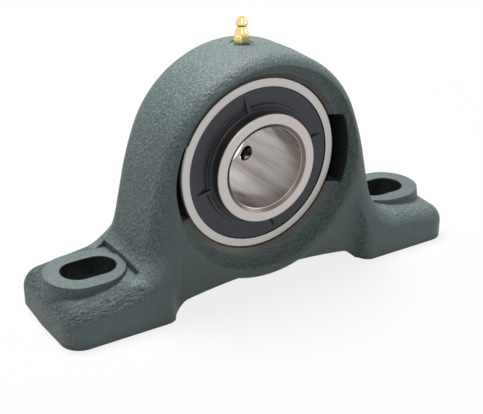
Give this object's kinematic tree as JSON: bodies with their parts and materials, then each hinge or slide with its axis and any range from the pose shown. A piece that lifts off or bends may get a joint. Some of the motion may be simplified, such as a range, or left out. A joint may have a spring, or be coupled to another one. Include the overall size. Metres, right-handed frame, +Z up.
{
  "type": "pillow block bearing",
  "caption": "Foot-mounted cast housing with arch, slotted feet and a self-aligning ball bearing insert held by set screws, for a shaft parallel to its base.",
  "frame": {"origin": "on the base plane, midway between the two slotted bolt holes, straight below the shaft centre", "axes": "+X along the base from foot to foot, +Y along the shaft towards the long side of the inner ring, +Z up from the base"},
  "size_m": [0.245, 0.0685, 0.1421],
  "materials": {
    "casting": "dark grey-green paint over sand-cast iron",
    "bearing_steel": "finely ground bearing steel",
    "ball_steel": "polished bearing steel",
    "cage_steel": "pressed mild steel",
    "seal_steel": "rubber-coated steel washer",
    "seal_rubber": "black nitrile rubber",
    "flinger_black": "satin blue-black coated steel",
    "screw_black": "black oxide steel",
    "nipple_brass": "bright yellow plated",
    "spring_steel": "drawn spring wire"
  },
  "bodies": {
    "housing": {"housing": "casting", "grease_nipple": "nipple_brass", "nipple_spring": "spring_steel"},
    "outer_ring": {"outer_ring": "bearing_steel", "seal_core_front": "seal_steel", "seal_core_rear": "seal_steel", "seal_lip_front": "seal_rubber", "seal_lip_rear": "seal_rubber"},
    "inner_ring": {"inner_ring": "bearing_steel", "flinger_front": "flinger_black", "flinger_rear": "flinger_black"},
    "cage": {"cage_front": "cage_steel", "cage_rear": "cage_steel", "cage_rivets": "cage_steel"},
    "ball_1": {"ball_1": "ball_steel"},
    "ball_2": {"ball_2": "ball_steel"},
    "ball_3": {"ball_3": "ball_steel"},
    "ball_4": {"ball_4": "ball_steel"},
    "ball_5": {"ball_5": "ball_steel"},
    "ball_6": {"ball_6": "ball_steel"},
    "ball_7": {"ball_7": "ball_steel"},
    "ball_8": {"ball_8": "ball_steel"},
    "set_screw_1": {"set_screw_1": "screw_black"},
    "set_screw_2": {"set_screw_2": "screw_black"},
    "nipple_ball": {"nipple_ball": "ball_steel"}
  },
  "joints": [
    {"name": "insert_alignment", "type": "hinge", "parent": "housing", "child": "outer_ring", "pos_m": [0, 0, 0.067], "axis": [1, 0, 0], "range_deg": [-3, 3]},
    {"name": "shaft_rotation", "type": "hinge", "parent": "outer_ring", "child": "inner_ring", "pos_m": [0, 0, 0.067], "axis": [0, 1, 0], "continuous": true},
    {"name": "cage_orbit", "type": "hinge", "parent": "outer_ring", "child": "cage", "pos_m": [0, 0, 0.067], "axis": [0, 1, 0], "continuous": true},
    {"name": "ball_1_spin", "type": "hinge", "parent": "cage", "child": "ball_1", "pos_m": [0, 0, 0.10325], "axis": [0, 1, 0], "continuous": true},
    {"name": "ball_2_spin", "type": "hinge", "parent": "cage", "child": "ball_2", "pos_m": [-0.02563, 0, 0.09263], "axis": [0, 1, 0], "continuous": true},
    {"name": "ball_3_spin", "type": "hinge", "parent": "cage", "child": "ball_3", "pos_m": [-0.03625, 0, 0.067], "axis": [0, 1, 0], "continuous": true},
    {"name": "ball_4_spin", "type": "hinge", "parent": "cage", "child": "ball_4", "pos_m": [-0.02563, 0, 0.04137], "axis": [0, 1, 0], "continuous": true},
    {"name": "ball_5_spin", "type": "hinge", "parent": "cage", "child": "ball_5", "pos_m": [0, 0, 0.03075], "axis": [0, 1, 0], "continuous": true},
    {"name": "ball_6_spin", "type": "hinge", "parent": "cage", "child": "ball_6", "pos_m": [0.02563, 0, 0.04137], "axis": [0, 1, 0], "continuous": true},
    {"name": "ball_7_spin", "type": "hinge", "parent": "cage", "child": "ball_7", "pos_m": [0.03625, 0, 0.067], "axis": [0, 1, 0], "continuous": true},
    {"name": "ball_8_spin", "type": "hinge", "parent": "cage", "child": "ball_8", "pos_m": [0.02563, 0, 0.09263], "axis": [0, 1, 0], "continuous": true},
    {"name": "set_screw_1_feed", "type": "slide", "parent": "inner_ring", "child": "set_screw_1", "axis": [-0.8192, 0, 0.5736], "range_m": [-0.003, 0.0015]},
    {"name": "set_screw_2_feed", "type": "slide", "parent": "inner_ring", "child": "set_screw_2", "axis": [-0.0872, 0, -0.9962], "range_m": [-0.003, 0.0015]},
    {"name": "nipple_ball_lift", "type": "slide", "parent": "housing", "child": "nipple_ball", "axis": [0, 0, -1], "range_m": [0, 0.0008], "stiffness_N_per_m": 200, "springref_m": -0.002, "deforming": ["nipple_spring"]}
  ],
  "couplings": [
    {"joint": "cage_orbit", "follows": "shaft_rotation", "ratio": 0.37957},
    {"joint": "ball_1_spin", "follows": "shaft_rotation", "ratio": -1.9555},
    {"joint": "ball_2_spin", "follows": "shaft_rotation", "ratio": -1.9555},
    {"joint": "ball_3_spin", "follows": "shaft_rotation", "ratio": -1.9555},
    {"joint": "ball_4_spin", "follows": "shaft_rotation", "ratio": -1.9555},
    {"joint": "ball_5_spin", "follows": "shaft_rotation", "ratio": -1.9555},
    {"joint": "ball_6_spin", "follows": "shaft_rotation", "ratio": -1.9555},
    {"joint": "ball_7_spin", "follows": "shaft_rotation", "ratio": -1.9555},
    {"joint": "ball_8_spin", "follows": "shaft_rotation", "ratio": -1.9555}
  ]
}
